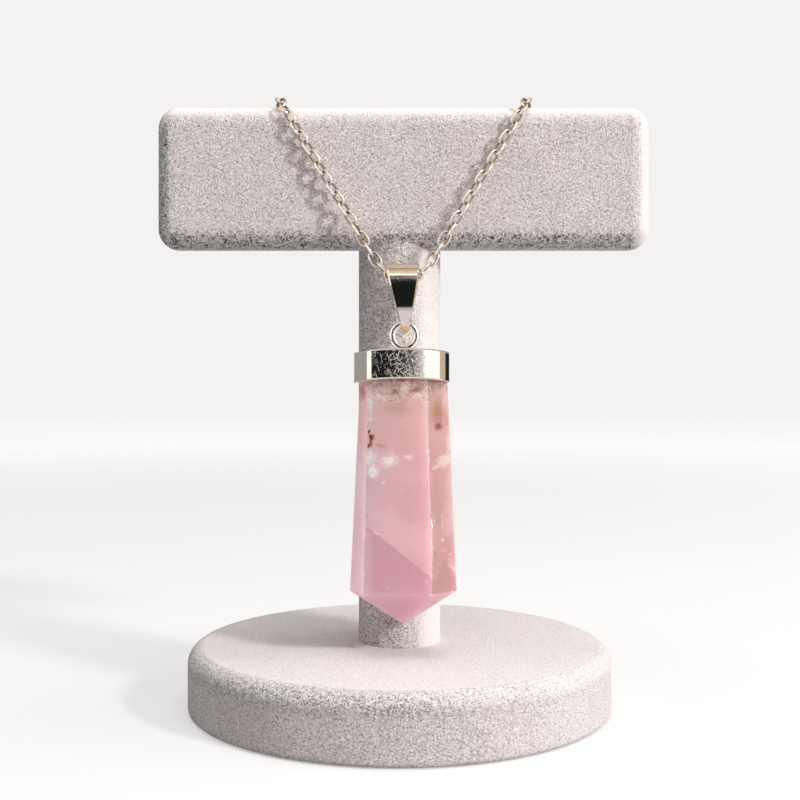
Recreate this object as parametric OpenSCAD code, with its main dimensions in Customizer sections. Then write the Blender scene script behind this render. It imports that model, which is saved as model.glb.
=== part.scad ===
// Crystal pendant necklace hung over a small padded T-bar stand.
// Millimetres, +Z up, front of the pendant towards -Y, origin under the middle of the stand.

/* [Stand] */
// Diameter of the round base
base_d = 91.4; // [80:0.2:110]
// Thickness of the base
base_t = 13.2; // [10:0.1:20]
// Rounding of the base's top edge
base_round = 3.2; // [1:0.1:4]
// Diameter of the upright post
post_d = 17.8; // [17:0.1:18]
// Sideways offset of the post and base from the middle of the bar
post_shift = -0.85; // [-1:0.05:1]
// Width of the crossbar
bar_w = 105; // [90:0.2:130]
// Depth of the crossbar, front to back
bar_d = 20; // [20:0.1:22]
// Height of the crossbar
bar_h = 30.5; // [30:0.5:32]
// Height of the crossbar's underside above the floor
bar_under = 98; // [97:0.1:98.5]
// Rounding of the crossbar's edges
bar_round = 4.5; // [4.5:0.1:5]
// Rise of the crossbar's underside from its front to its back
bar_rise = 1.6; // [1.5:0.1:2]

/* [Chain] */
// Links on each side of the middle link
side_links = 78; // [76:2:80]
// Spacing of the links along the chain
pitch = 2.5; // [2.45:0.01:2.55]
// Thickness of the link wire
link_wire = 0.42; // [0.4:0.01:0.43]
// Outside width of a link
link_w = 2.44; // [2.42:0.01:2.46]
// Free play between two links
link_play = 0.2; // [0.18:0.01:0.22]
// Half the distance between the strands where they cross the bar's top front edge
strand_x = 26.4; // [24:0.2:28]
// Outside diameter of the ring clasp
clasp_d = 6.6; // [6:0.1:7.5]

/* [Pendant] */
// Slant of the front strands and the bail, which the post pushes forward, in degrees
lean = 4.5; // [4.5:0.05:5]
// Slant of the cap and stone, whose backs rest on the post, in degrees
stone_lean = 0.5; // [0.5:0.05:1]
// Height of the chain's lowest point above the floor, where the bail hangs
hang_z = 91.1; // [91:0.1:92]
// Width of the bail at its top
bail_w = 6.9; // [6.5:0.1:7]
// Narrowing of the bail on each side, for each millimetre down
bail_taper = 0.2; // [0.19:0.005:0.21]
// Width of the end cap
cap_w = 19.6; // [19.6:0.1:20.2]
// Depth of the end cap, front to back
cap_d = 11.4; // [11.3:0.05:11.4]
// Height of the end cap
cap_h = 6; // [5:0.1:7]
// Height of the stone's pointed end
point_h = 7; // [5:0.1:9]

/* [Hidden] */
$fn = 64;

// Colours
velvet = [0.80, 0.76, 0.74];
gold = [0.87, 0.78, 0.62];
quartz = [0.87, 0.67, 0.67];

// Overshoot of a cutting solid past the face that it cuts
cut = 1;

// Stand
base_r = base_d / 2;
post_r = post_d / 2;
bar_top = bar_under + bar_h;
// Clearance of a seated piece, and how deep the post goes into the base and the bar
fit_gap = 0.2;
base_socket = 4;
bar_socket = 4.5;

// Chain's centre line: its distance from the bar and from the base, and the radius of its bends
chain_off = 1.1;
base_off = 1.4;
bail_bend = 6.3;
edge_bend = 5.6;
back_bend = 5;
// Where its corners lie: below the bail, over the bar, at the pin and on the base
low_x = 3.55;
back_spread = 0.5;
gather_x = 2.3;
gather_z = 107;
end_x = 1.5;
end_run = 7;
end_spare = 60;
route_front = -(bar_d / 2 + chain_off);
route_back = bar_d / 2 + chain_off;
route_top = bar_top + chain_off;
route_base = base_t + base_off;

// Hinge of the bail: on the leaning plane of the front strands, just above their lowest point
hinge_up = 0.4;
hinge_z = hang_z + hinge_up;
hinge_y = route_front - (route_top - hinge_z) * tan(lean);

// Link: a rounded oblong of round wire, with a flat across each end
link_sides = 10;
wire_sides = 5;
link_power = 4;
link_flat = pow(cos(180 / link_sides), 2 / link_power);
link_half = (pitch + link_wire + link_play) / 2 / link_flat;
link_half_w = (link_w - link_wire) / 2;
// Links that lie plain next to the bail, then twist, and untwist before the clasp
plain_links = 3;
twist_links = 5;
untwist_links = 6;

// Pin behind the bar: half its width, its height above the floor and its depth in the bar
pin_wire = 1;
pin_clear = 0.1;
pin_gap = 0.15;
pin_x = 3.95;
pin_z = 104;
pin_depth = 5;
pin_y = route_back + link_w / 2 + pin_gap + pin_wire / 2;

// Clasp: leans on the last two links, with a small knob on its ring
clasp_wire = 0.72;
clasp_r = (clasp_d - clasp_wire) / 2;
clasp_tilt = 6;
clasp_clear = 0.35;
knob_angle = 70;
knob_h = 1;

// Bail: loops round the chain above and round the cap's ring below
bail_top_in = 2;
bail_top_out = 2.75;
bail_foot_in = 0.8;
bail_foot_out = 1.9;
bail_len = 9.85;
bail_drop = bail_len + bail_foot_out + bail_top_out;
// Inset of the straight sides, so that they cut the round ends cleanly
side_inset = 0.03;

// End cap and the ring soldered on it
ring_r = 2.65;
ring_wire = 1.1;
ring_z = -bail_len - ring_r;
ring_sink = 0.1;
cap_top = ring_z - ring_r - ring_wire / 2 + ring_sink;
cap_wall = 0.6;
// Rounded corners of the cap, which follow the stone's six sides: across, deep and radius
cap_corners = [
    [-cap_w / 2 + 0.9, 0, 0.9],
    [-6.95, -cap_d / 2 + 1.3, 1.3],
    [4.2, -cap_d / 2 + 4.6, 4.6],
    [cap_w / 2 - 0.9, 0, 0.9],
    [5.3, cap_d / 2 - 1.4, 1.4],
    [-5.3, cap_d / 2 - 1.4, 1.4]
];
cap_ceiling = 0.8;
solder_w = 3.6;
solder_h = 0.5;
solder_sink = 0.2;

// Stone: cut sections from the glued end down to the start of the point.
// A row holds: height below the cap's top, left edge, right edge,
// left and right edge of the front table, half thickness
stone_rows = [
    [1.1, -8.95, 8.95, -7.1, 4.6, 4.80],
    [8.1, -9.15, 9.15, -7.2, 4.7, 4.95],
    [28.0, -10.05, 10.05, -7.7, 5.3, 5.45],
    [49.3, -11.10, 11.05, -8.2, 5.8, 6.00]
];
// Width of the back face as a share of the stone's
stone_back = 0.62;
stone_sides = 6;

// Unit vector along v
function unit(v) = v / norm(v);

// Point of the leaning plane: x across, h up from the bail's hinge
function hung(x, h) = [x, hinge_y + h * sin(lean), hinge_z + h * cos(lean)];

// Corner b of the path a-b-c rounded to radius r, as short steps
function bend(a, b, c, r, steps = 8) =
    let (
        u = unit(b - a),
        v = unit(c - b),
        turn = acos(u * v),
        start = b - u * r * tan(turn / 2),
        centre = b + unit(v - u) * r / cos(turn / 2)
    )
    [for (i = [0:steps]) centre + (start - centre) * cos(turn * i / steps) + u * r * sin(turn * i / steps)];

// Route of the right strand: front, over the bar, down behind the post and back along the base
corners = [
    hung(0, -hinge_up),
    hung(low_x, -hinge_up),
    [strand_x, route_front, route_top],
    [strand_x + back_spread, route_back, route_top],
    [gather_x, route_back, gather_z],
    [gather_x, route_back, route_base],
    [end_x, route_back + end_run, route_base],
    [end_x, route_back + end_run + end_spare, route_base]
];
bends = [0, bail_bend, edge_bend, edge_bend, back_bend, back_bend, back_bend, 0];
route = concat(
    [corners[0]],
    [for (i = [1:len(corners) - 2]) each bend(corners[i - 1], corners[i], corners[i + 1], bends[i])],
    [corners[len(corners) - 1]]
);

// First piece of the route, from piece i on, whose end is at least step away from p
function piece_at(i, p, step) = norm(route[i + 1] - p) >= step ? i : piece_at(i + 1, p, step);

// Point of piece i that is step away from p
function point_at(i, p, step) =
    let (
        a = route[i],
        d = route[i + 1] - a,
        f = a - p,
        qa = d * d,
        qb = 2 * (f * d),
        qc = f * f - step * step
    )
    a + d * (-qb + sqrt(qb * qb - 4 * qa * qc)) / (2 * qa);

// Joints between the links, each one pitch from the last
function joints(i, p, step, count) =
    let (
        j = piece_at(i, p, step),
        q = point_at(j, p, step)
    )
    count == 0 ? [q] : concat([q], joints(j, q, pitch, count - 1));

right_joints = joints(0, corners[0], pitch / 2, side_links);
last_joint = right_joints[side_links];

// Roll of link k about the chain: quarter turns, which twist by 45 degrees away from its two ends
function ramp(t) = max(0, min(1, t));
function roll(k) =
    90 * (k + 1) + 45 * ramp((k - plain_links) / twist_links) * ramp((side_links - k) / untwist_links);

// Corner i of the closed curve of a link, with a flat across each end
function corner(i) =
    let (a = 360 * (i + 0.5) / link_sides)
    [
        sign(cos(a)) * pow(abs(cos(a)), 2 / link_power) * link_half,
        sign(sin(a)) * pow(abs(sin(a)), 2 / link_power) * link_half_w
    ];

// One link between joints p and q, rolled about its length
module link(p, q, turn) {
    centre = (p + q) / 2;
    along = unit(q - p);
    out = unit([0, -along[2] - 0.001, along[1]]);
    side = cross(along, out);
    across = side * cos(turn) - out * sin(turn);
    normal = cross(along, across);
    points = [
        for (i = [0:link_sides - 1])
            let (
                c = corner(i),
                e = corner(i + 1) - corner(i - 1),
                m = unit([e[1], -e[0]])
            )
            for (j = [0:wire_sides - 1])
                let (
                    w = link_wire / 2,
                    r = c + m * w * cos(360 * j / wire_sides)
                )
                centre + along * r[0] + across * r[1] + normal * w * sin(360 * j / wire_sides)
    ];
    faces = [
        for (i = [0:link_sides - 1], j = [0:wire_sides - 1])
            let (
                i2 = (i + 1) % link_sides,
                j2 = (j + 1) % wire_sides
            )
            [i * wire_sides + j, i * wire_sides + j2, i2 * wire_sides + j2, i2 * wire_sides + j]
    ];
    polyhedron(points, faces);
}

// Moves the bail into the leaning plane, with its hinge at the origin
module hang() {
    translate([0, hinge_y, hinge_z]) rotate([-lean, 0, 0]) children();
}

// Moves the cap and stone to where they hang from the bail's foot
module hang_low() {
    hang() translate([0, 0, -bail_len]) rotate([lean - stone_lean, 0, 0])
        translate([0, 0, bail_len]) children();
}

// Rectangle with round corners about the origin
module rounded(w, h, r) {
    square([w - 2 * r, h], center = true);
    square([w, h - 2 * r], center = true);
    for (x = [-1, 1], y = [-1, 1])
        translate([x * (w / 2 - r), y * (h / 2 - r)]) circle(r);
}

// Solid drop shape: a roller at the origin and a smaller one below, with straight sides
module drop(top_r, foot_r, length, width) {
    tilt = asin((top_r - foot_r) / length);
    top_in = top_r - side_inset;
    foot_in = foot_r - side_inset;
    rotate([0, 90, 0]) cylinder(h = width, r = top_r, center = true);
    translate([0, 0, -length]) rotate([0, 90, 0]) cylinder(h = width, r = foot_r, center = true);
    rotate([90, 0, 90]) linear_extrude(width, center = true) polygon([
        [top_in * cos(tilt), -top_in * sin(tilt)],
        [foot_in * cos(tilt), -length - foot_in * sin(tilt)],
        [-foot_in * cos(tilt), -length - foot_in * sin(tilt)],
        [-top_in * cos(tilt), -top_in * sin(tilt)]
    ]);
}

// Cap's outline, drawn in by inset
module cap_outline(inset = 0) {
    hull() for (c = cap_corners) translate([c[0], c[1]]) circle(c[2] - inset);
}

// Plain ring lying flat about the origin
module ring(r, wire) {
    rotate_extrude() translate([r, 0]) circle(wire / 2, $fn = 32);
}

// Side outline of the crossbar: across is front to back, its underside rises towards the back
module bar_side() {
    y = bar_d / 2 - bar_round;
    z = bar_h / 2 - bar_round;
    hull() for (c = [[-y, -z], [-y, z], [y, z], [y, bar_rise - z]]) translate(c) circle(bar_round);
}

// Round base with a socket for the post
module stand_base() {
    color(velvet) translate([post_shift, 0, 0]) difference() {
        rotate_extrude() {
            square([base_r - base_round, base_t]);
            square([base_r, base_t - base_round]);
            translate([base_r - base_round, base_t - base_round]) intersection() {
                circle(base_round);
                square(base_round);
            }
        }
        translate([0, 0, base_t - base_socket]) cylinder(h = base_socket + cut, r = post_r + fit_gap);
    }
}

// Upright post, seated in the base and in the bar
module stand_post() {
    foot = base_t - base_socket + fit_gap;
    head = bar_under + bar_socket - fit_gap;
    color(velvet) translate([post_shift, 0, foot]) cylinder(h = head - foot, r = post_r);
}

// Padded crossbar with the post's socket below and the pin's two holes behind
module stand_bar() {
    color(velvet) difference() {
        translate([0, 0, bar_under + bar_h / 2]) intersection() {
            linear_extrude(bar_h, center = true) rounded(bar_w, bar_d, bar_round);
            rotate([90, 0, 0]) linear_extrude(bar_d, center = true) rounded(bar_w, bar_h, bar_round);
            rotate([90, 0, 90]) linear_extrude(bar_w, center = true) bar_side();
        }
        translate([post_shift, 0, bar_under - cut]) cylinder(h = bar_socket + cut, r = post_r + fit_gap);
        for (x = [-pin_x, pin_x])
            translate([x, bar_d / 2 + cut, pin_z])
                rotate([90, 0, 0]) cylinder(h = pin_depth + cut, r = pin_wire / 2 + pin_clear, $fn = 32);
    }
}

// Plain staple that gathers the strands behind the bar
module chain_pin() {
    leg = pin_y - bar_d / 2 + pin_depth - fit_gap;
    color(gold) translate([0, pin_y, pin_z]) {
        rotate([0, 90, 0]) cylinder(h = 2 * pin_x, r = pin_wire / 2, center = true, $fn = 32);
        for (x = [-pin_x, pin_x]) translate([x, 0, 0]) {
            sphere(r = pin_wire / 2, $fn = 32);
            rotate([90, 0, 0]) cylinder(h = leg, r = pin_wire / 2, $fn = 32);
        }
    }
}

// One strand of links; side is 1 on the right and -1 on the left
module strand(side) {
    for (k = [1:side_links]) {
        p = right_joints[k - 1];
        q = right_joints[k];
        link([side * p[0], p[1], p[2]], [side * q[0], q[1], q[2]], side * roll(k));
    }
}

module chain_left() {
    color(gold) strand(-1);
}

// The right strand also holds the middle link, inside the bail
module chain_right() {
    p = right_joints[0];
    color(gold) {
        link([-p[0], p[1], p[2]], p, roll(0));
        strand(1);
    }
}

// Ring clasp that closes the loop, lying on the base behind the post
module clasp_ring() {
    reach = link_play / 2 - clasp_clear - clasp_wire / 2;
    near = last_joint + [0, reach, 0];
    middle = sqrt(clasp_r * clasp_r - near[0] * near[0]);
    color(gold) translate([0, near[1], near[2]]) rotate([-clasp_tilt, 0, 0]) translate([0, middle, 0]) {
        ring(clasp_r, clasp_wire);
        rotate([0, 0, knob_angle]) translate([clasp_r, 0, 0])
            rotate([0, 90, 0]) cylinder(h = knob_h, r = clasp_wire / 2, $fn = 32);
    }
}

// Tapered strap folded into a loop
module bail() {
    color(gold) hang() intersection() {
        difference() {
            drop(bail_top_out, bail_foot_out, bail_len, bail_w);
            drop(bail_top_in, bail_foot_in, bail_len, bail_w + cut);
        }
        rotate([90, 0, 0]) linear_extrude(2 * bail_top_out + cut, center = true) polygon([
            [-bail_w / 2, bail_top_out],
            [bail_w / 2, bail_top_out],
            [bail_w / 2 - bail_drop * bail_taper, bail_top_out - bail_drop],
            [bail_drop * bail_taper - bail_w / 2, bail_top_out - bail_drop]
        ]);
    }
}

// Cap over the stone's upper end, open below, with the hanging ring soldered on top
module end_cap() {
    color(gold) hang_low() {
        difference() {
            translate([0, 0, cap_top - cap_h]) linear_extrude(cap_h) cap_outline();
            translate([0, 0, cap_top - cap_h - cut]) linear_extrude(cap_h + cut - cap_ceiling)
                cap_outline(cap_wall);
        }
        translate([0, 0, ring_z]) rotate([90, 0, 0]) ring(ring_r, ring_wire);
        translate([-solder_w / 2, -ring_wire / 2, cap_top - solder_sink])
            cube([solder_w, ring_wire, solder_h + solder_sink]);
    }
}

// Six-sided tapered crystal with a front table and a shallow point
module stone() {
    last = len(stone_rows) - 1;
    rings = [
        for (row = stone_rows)
            let (
                z = cap_top - row[0],
                left = row[1],
                right = row[2],
                t = row[5]
            )
            each [
                [left, 0, z], [row[3], -t, z], [row[4], -t, z],
                [right, 0, z], [right * stone_back, t, z], [left * stone_back, t, z]
            ]
    ];
    tip = [0, 0, cap_top - stone_rows[last][0] - point_h];
    sides = [
        for (i = [0:last - 1], j = [0:stone_sides - 1])
            let (
                a = i * stone_sides,
                b = a + stone_sides,
                n = (j + 1) % stone_sides
            )
            each [[a + j, a + n, b + n], [a + j, b + n, b + j]]
    ];
    point = [
        for (j = [0:stone_sides - 1])
            [last * stone_sides + j, last * stone_sides + (j + 1) % stone_sides, len(rings)]
    ];
    top = [[for (j = [stone_sides - 1:-1:0]) j]];
    color(quartz) hang_low() polyhedron(concat(rings, [tip]), concat(top, sides, point));
}

stand_base();
stand_post();
stand_bar();
chain_pin();
chain_left();
chain_right();
clasp_ring();
bail();
end_cap();
stone();
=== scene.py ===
"""Looks of a crystal pendant necklace that hangs on its velvet-covered T-bar stand."""

import math

import bmesh
import bpy
import numpy as np
from mathutils import Matrix, Vector, noise


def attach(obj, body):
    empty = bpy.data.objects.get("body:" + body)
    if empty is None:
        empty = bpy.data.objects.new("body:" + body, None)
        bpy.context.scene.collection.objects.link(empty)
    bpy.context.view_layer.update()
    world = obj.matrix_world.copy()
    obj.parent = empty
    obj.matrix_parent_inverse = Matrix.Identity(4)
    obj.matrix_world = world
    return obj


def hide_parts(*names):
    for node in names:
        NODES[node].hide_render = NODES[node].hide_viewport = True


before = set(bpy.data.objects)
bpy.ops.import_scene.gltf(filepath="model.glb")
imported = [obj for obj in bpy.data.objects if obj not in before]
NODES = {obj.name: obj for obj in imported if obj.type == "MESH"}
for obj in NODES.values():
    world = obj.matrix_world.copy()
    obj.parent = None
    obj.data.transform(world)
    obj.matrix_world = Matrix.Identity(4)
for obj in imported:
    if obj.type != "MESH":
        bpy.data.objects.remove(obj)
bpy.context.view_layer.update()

MM = 0.001

# Camera: its place, and its lens in millimetres for a sensor 36 mm wide
CAMERA_AT, CAMERA_LENS, SENSOR = Vector((-0.75, -243, 65.9)) * MM, 49.725, 36

# Stand, of covered board: the base and post stand a little left of the bar's middle
POST_X, POST_R, POST_TOP = -0.85 * MM, 8.9 * MM, 102 * MM
BASE_R, BASE_T, BASE_ROUND = 45.7 * MM, 13.2 * MM, 3.2 * MM
# Bar: its sizes, the height of its underside, its edges' radius, and how far its lower back edge is lifted
BAR_W, BAR_D, BAR_H = 105 * MM, 20 * MM, 30.5 * MM
BAR_UNDER, BAR_ROUND, BAR_RISE = 98 * MM, 4.5 * MM, 1.6 * MM

# Chain link: its length and width outside and its wire, as in the CAD; then the radius of the wire that is drawn, as
# a share of the CAD's wire, and the radius of the link's corners, as a share of its width between wire middles
LINK_L, LINK_W, LINK_WIRE = 3.66 * MM, 2.46 * MM, 0.46 * MM
WIRE_SHARE, LINK_ROUND = 0.67, 0.46

# Hinge of the bail, the slant of bail and pendant, the bail's length, and the ring and the cap's top, whose heights
# are measured from the hinge
HINGE = Vector((0, -14.0985, 91.5)) * MM
LEAN, STONE_LEAN = math.radians(4.5), math.radians(0.5)
BAIL_LEN = 9.85 * MM
RING_R, RING_WIRE = 2.5 * MM, 1.35 * MM
RING_X, RING_Z = 0.15 * MM, -12.4 * MM
CAP_TOP, CAP_DROOP = -15.6 * MM, 0.65 * MM
# Corners of the cap's outline: across, deep and radius, in millimetres
CAP_CORNERS = ((-9.4, 0, 0.9), (-6.5, -4.4, 1.3), (4.1, -0.8, 4.9), (8.6, 0, 0.9), (5.3, 4.3, 1.4), (-5.3, 4.3, 1.4))
# Height of the cap's lower edge above the floor, in millimetres, from which the stone's marks are measured down
STONE_TOP = 69.9


# ---- Mesh helpers ----

def add_object(name, data):
    """A new object in the scene, at the origin."""
    thing = bpy.data.objects.new(name, data)
    bpy.context.scene.collection.objects.link(thing)
    return thing


def make_piece(name, points, faces, smooth=True):
    """A mesh object at the origin from points in metres."""
    mesh = bpy.data.meshes.new(name)
    mesh.from_pydata([tuple(p) for p in points], [], faces)
    mesh.validate()
    mesh.shade_smooth() if smooth else mesh.shade_flat()
    return add_object(name, mesh)


def tidy_mesh(piece, merge=1e-6):
    """Merges doubles and turns every face outwards."""
    work = bmesh.new()
    work.from_mesh(piece.data)
    bmesh.ops.remove_doubles(work, verts=work.verts, dist=merge)
    bmesh.ops.recalc_face_normals(work, faces=work.faces)
    work.to_mesh(piece.data)
    work.free()


def finish_modifiers(piece):
    """Turns a piece with its modifiers into a plain mesh object of the same name."""
    bpy.context.view_layer.update()
    shape = piece.evaluated_get(bpy.context.evaluated_depsgraph_get())
    mesh = bpy.data.meshes.new_from_object(shape)
    name = piece.name
    bpy.data.objects.remove(piece)
    return add_object(name, mesh)


def smooth_by_angle(piece, degrees):
    """Smooth shading with the edges sharper than the angle kept crisp."""
    work = bmesh.new()
    work.from_mesh(piece.data)
    for face in work.faces:
        face.smooth = True
    for edge in work.edges:
        edge.smooth = not (len(edge.link_faces) == 2 and edge.calc_face_angle() > math.radians(degrees))
    work.to_mesh(piece.data)
    work.free()


def rings_to_faces(rings, count, first=0, closed=False):
    """Quads between consecutive rings of count points; closed joins the last ring to the first."""
    faces = []
    for k in range(rings if closed else rings - 1):
        a, b = first + k * count, first + (k + 1) % rings * count
        for i in range(count):
            j = (i + 1) % count
            faces.append((a + i, a + j, b + j, b + i))
    return faces


def write_values(piece, name, values):
    """Writes one number for each point of a piece, for its material to read."""
    piece.data.attributes.new(name, "FLOAT", "POINT").data.foreach_set("value", values)


def dress(piece, material, body, slot, *nodes):
    """Gives a piece its finish and its body, and hides the CAD nodes that it stands for; the slot is not used."""
    piece.data.materials.clear()
    piece.data.materials.append(material)
    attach(piece, body)
    if nodes:
        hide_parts(*nodes)


# ---- Node helpers ----

def put(tree, kind, sockets=None, **settings):
    """Adds a node; a socket's value is a number, a colour or another node's output."""
    made = tree.nodes.new(kind)
    for key, value in settings.items():
        setattr(made, key, value)
    for key, value in (sockets or {}).items():
        if isinstance(value, bpy.types.NodeSocket):
            tree.links.new(value, made.inputs[key])
        else:
            made.inputs[key].default_value = value
    return made


def maths(tree, operation, *values):
    """Result of a Math node."""
    return put(tree, "ShaderNodeMath", dict(enumerate(values)), operation=operation).outputs[0]


def times(tree, a, b):
    """Product of two values."""
    return maths(tree, "MULTIPLY", a, b)


def fade(tree, value, low, high, to_low=0.0, to_high=1.0):
    """Smooth step of value between low and high."""
    return put(tree, "ShaderNodeMapRange",
               {"Value": value, "From Min": low, "From Max": high, "To Min": to_low, "To Max": to_high},
               interpolation_type="SMOOTHSTEP").outputs["Result"]


def blend_colour(tree, factor, a, b, mode="MIX"):
    """Colour a turned into colour b by the factor."""
    return put(tree, "ShaderNodeMix", {0: factor, 6: a, 7: b}, data_type="RGBA", blend_type=mode).outputs[2]


def grain(tree, vector, scale, detail=2.0, roughness=0.5, warp=0.0):
    """Factor of a noise texture, seeded by nothing but its place."""
    return put(tree, "ShaderNodeTexNoise", {"Vector": vector, "Scale": scale, "Detail": detail,
                                            "Roughness": roughness, "Distortion": warp}).outputs[0]


def drawn(tree, name):
    """Value of an attribute of the piece."""
    return put(tree, "ShaderNodeAttribute", attribute_name=name).outputs["Fac"]


def axes_of(tree, vector):
    """Across, depth and height of a place."""
    return put(tree, "ShaderNodeSeparateXYZ", {0: vector}).outputs


def vector_maths(tree, operation, *values):
    """Vector result of a Vector Math node."""
    return put(tree, "ShaderNodeVectorMath", dict(enumerate(values)), operation=operation).outputs[0]


def turned_round(tree, vector, angle):
    """A place turned round the axis that points to the back."""
    return put(tree, "ShaderNodeVectorRotate", {"Vector": vector, "Angle": angle}, rotation_type="Y_AXIS").outputs[0]


def strongest(tree, masks):
    """Highest of several masks."""
    total, *others = masks
    for mask in others:
        total = maths(tree, "MAXIMUM", total, mask)
    return total


def new_group(name, inputs, outputs):
    """A shader node group with named sockets; returns the tree, its inputs and its outputs."""
    tree = bpy.data.node_groups.new(name, "ShaderNodeTree")
    for label, kind, value in inputs:
        socket = tree.interface.new_socket(label, in_out="INPUT", socket_type="NodeSocket" + kind)
        if value is not None:
            socket.default_value = value
    for label, kind in outputs:
        tree.interface.new_socket(label, in_out="OUTPUT", socket_type="NodeSocket" + kind)
    return tree, tree.nodes.new("NodeGroupInput").outputs, tree.nodes.new("NodeGroupOutput").inputs


def place_group(tree, group, sockets):
    """Adds a node that uses a group, and returns its outputs."""
    return put(tree, "ShaderNodeGroup", sockets, node_tree=group).outputs


def new_material(name, constants):
    """A material and its Principled shader with constants on its own sockets."""
    material = bpy.data.materials.new(name)
    material.use_nodes = True
    tree = material.node_tree
    shader = tree.nodes["Principled BSDF"]
    for key, value in constants.items():
        shader.inputs[key].default_value = value
    place = tree.nodes.new("ShaderNodeTexCoord").outputs["Object"]
    return material, tree, shader, place


def relief(tree, shader, height, distance, strength=1.0):
    """Bump from a height, fed to the shader's normal."""
    bump = put(tree, "ShaderNodeBump", {"Strength": strength, "Distance": distance, "Height": height})
    tree.links.new(bump.outputs[0], shader.inputs["Normal"])


# ---- Camera, floor and lights ----

def set_camera():
    """The photograph's viewpoint: level, close in front, lens and place solved from the stand's outline."""
    camera = add_object("camera", bpy.data.cameras.new("camera"))
    camera.location = CAMERA_AT
    camera.rotation_euler = (math.radians(90), 0, 0)
    camera.data.lens = CAMERA_LENS
    camera.data.sensor_width = SENSOR
    camera.data.clip_start = 0.01
    camera.data.clip_end = 50
    bpy.context.scene.camera = camera


def towards(azimuth, elevation):
    """Unit vector from the object; azimuth runs from the front to the right, in degrees."""
    a, e = math.radians(azimuth), math.radians(elevation)
    return Vector((math.sin(a) * math.cos(e), -math.cos(a) * math.cos(e), math.sin(e)))


def soft_light(name, azimuth, elevation, distance, size, watts, colour=(1, 1, 1)):
    """A square soft box that faces the middle of the object."""
    aim = Vector((0, 0, 75)) * MM
    light = add_object(name, bpy.data.lights.new(name, "AREA"))
    light.data.size = size
    light.data.energy = watts
    light.data.color = colour
    light.location = aim + towards(azimuth, elevation) * distance
    light.rotation_euler = towards(azimuth, elevation).to_track_quat("Z", "Y").to_euler()


def glowing_card(name, points, faces, colour, glow):
    """A card that only gloss sees, as a studio's flags and reflectors."""
    card = make_piece(name, points, faces, smooth=False)
    material = bpy.data.materials.new(name)
    material.use_nodes = True
    tree = material.node_tree
    tree.nodes.clear()
    emission = put(tree, "ShaderNodeEmission", {"Color": (*colour, 1), "Strength": glow})
    output = tree.nodes.new("ShaderNodeOutputMaterial")
    tree.links.new(emission.outputs[0], output.inputs["Surface"])
    card.data.materials.append(material)
    card.visible_camera = card.visible_diffuse = card.visible_shadow = card.visible_transmission = False


def curved_card(name, left, right, low, high, colour, glow):
    """A curved card round the bail; its edges are angles in degrees."""
    centre, distance = Vector((0, -14, 82)) * MM, 0.7
    steps = max(1, round((right - left) / 10))
    points = [centre + towards(left + (right - left) * i / steps, e) * distance
              for i in range(steps + 1) for e in (low, high)]
    glowing_card(name, points, [(2 * i, 2 * i + 2, 2 * i + 3, 2 * i + 1) for i in range(steps)], colour, glow)


def set_surroundings():
    """Pale floor, which only the camera sees glow, and pale world, which looks brighter than it shines."""
    pale, far, sunk = (1.0, 0.985, 0.98, 1), 4.0, -0.2 * MM
    corners = [(x * far, y * far, sunk) for x, y in ((-1, -1), (1, -1), (1, 1), (-1, 1))]
    floor = make_piece("floor", corners, [(0, 1, 2, 3)], smooth=False)
    material, tree, shader, place = new_material("pale_floor", {"Roughness": 0.8, "Specular IOR Level": 0.1,
                                                                "Emission Color": pale})
    tint = blend_colour(tree, grain(tree, place, 6.0), (0.40, 0.40, 0.40, 1), (0.43, 0.43, 0.43, 1))
    tree.links.new(tint, shader.inputs["Base Color"])
    seen = put(tree, "ShaderNodeLightPath").outputs["Is Camera Ray"]
    away = put(tree, "ShaderNodeVectorMath", {0: place}, operation="LENGTH").outputs["Value"]
    glow = times(tree, seen, fade(tree, away, 0.1, 1.5, 0.46, 0.80))
    tree.links.new(glow, shader.inputs["Emission Strength"])
    floor.data.materials.append(material)
    world = bpy.data.worlds.new("studio")
    world.use_nodes = True
    tree = world.node_tree
    seen = put(tree, "ShaderNodeLightPath").outputs["Is Camera Ray"]
    background = tree.nodes["Background"]
    background.inputs["Color"].default_value = pale
    tree.links.new(maths(tree, "MULTIPLY_ADD", seen, 0.62, 0.28), background.inputs["Strength"])
    bpy.context.scene.world = world


def set_studio():
    """A key light and a soft fill from the right, one light above, and cards for the metal to reflect."""
    set_surroundings()
    soft_light("key", 52, 27, 1.2, 0.15, 10.5, (1.0, 0.97, 0.94))
    soft_light("fill", 95, 15, 1.2, 0.8, 5.5)
    soft_light("overhead", 10, 80, 0.9, 0.7, 6.5)
    cream, tan, dark, lilac = (1.0, 0.96, 0.91), (0.80, 0.64, 0.49), (0.7, 1.0, 0.9), (0.86, 0.80, 0.95)
    left = -160
    for name, right, colour, glow in (
            ("reflector_far_left", -103, cream, 0.34), ("reflector_left", -14, cream, 1.15),
            ("flag_front", 4, dark, 0.012), ("flag_edge_a", 7, cream, 0.06), ("flag_edge_b", 10, cream, 0.16),
            ("flag_edge_c", 12.5, cream, 0.4), ("reflector_right", 84, cream, 1.25), ("flag_side", 134, tan, 0.7),
            ("flag_back", 200, cream, 0.02)):
        curved_card(name, left, right, -6, 22, colour, glow)
        left = right
    curved_card("reflector_above", -100, 100, 22, 34, cream, 1.3)
    curved_card("reflector_high", -100, 100, 34, 56, tan, 1.0)
    curved_card("canopy", -180, 180, 56, 89, tan, 0.7)
    near, far, wide, low = -60 * MM, -600 * MM, 350 * MM, 0.3 * MM
    corners = [(-wide, near, low), (wide, near, low), (wide, far, low), (-wide, far, low)]
    glowing_card("reflector_low", corners, [(0, 1, 2, 3)], lilac, 0.85)
    bpy.context.scene.view_settings.view_transform = "Standard"


# ---- Velvet ----

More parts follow.
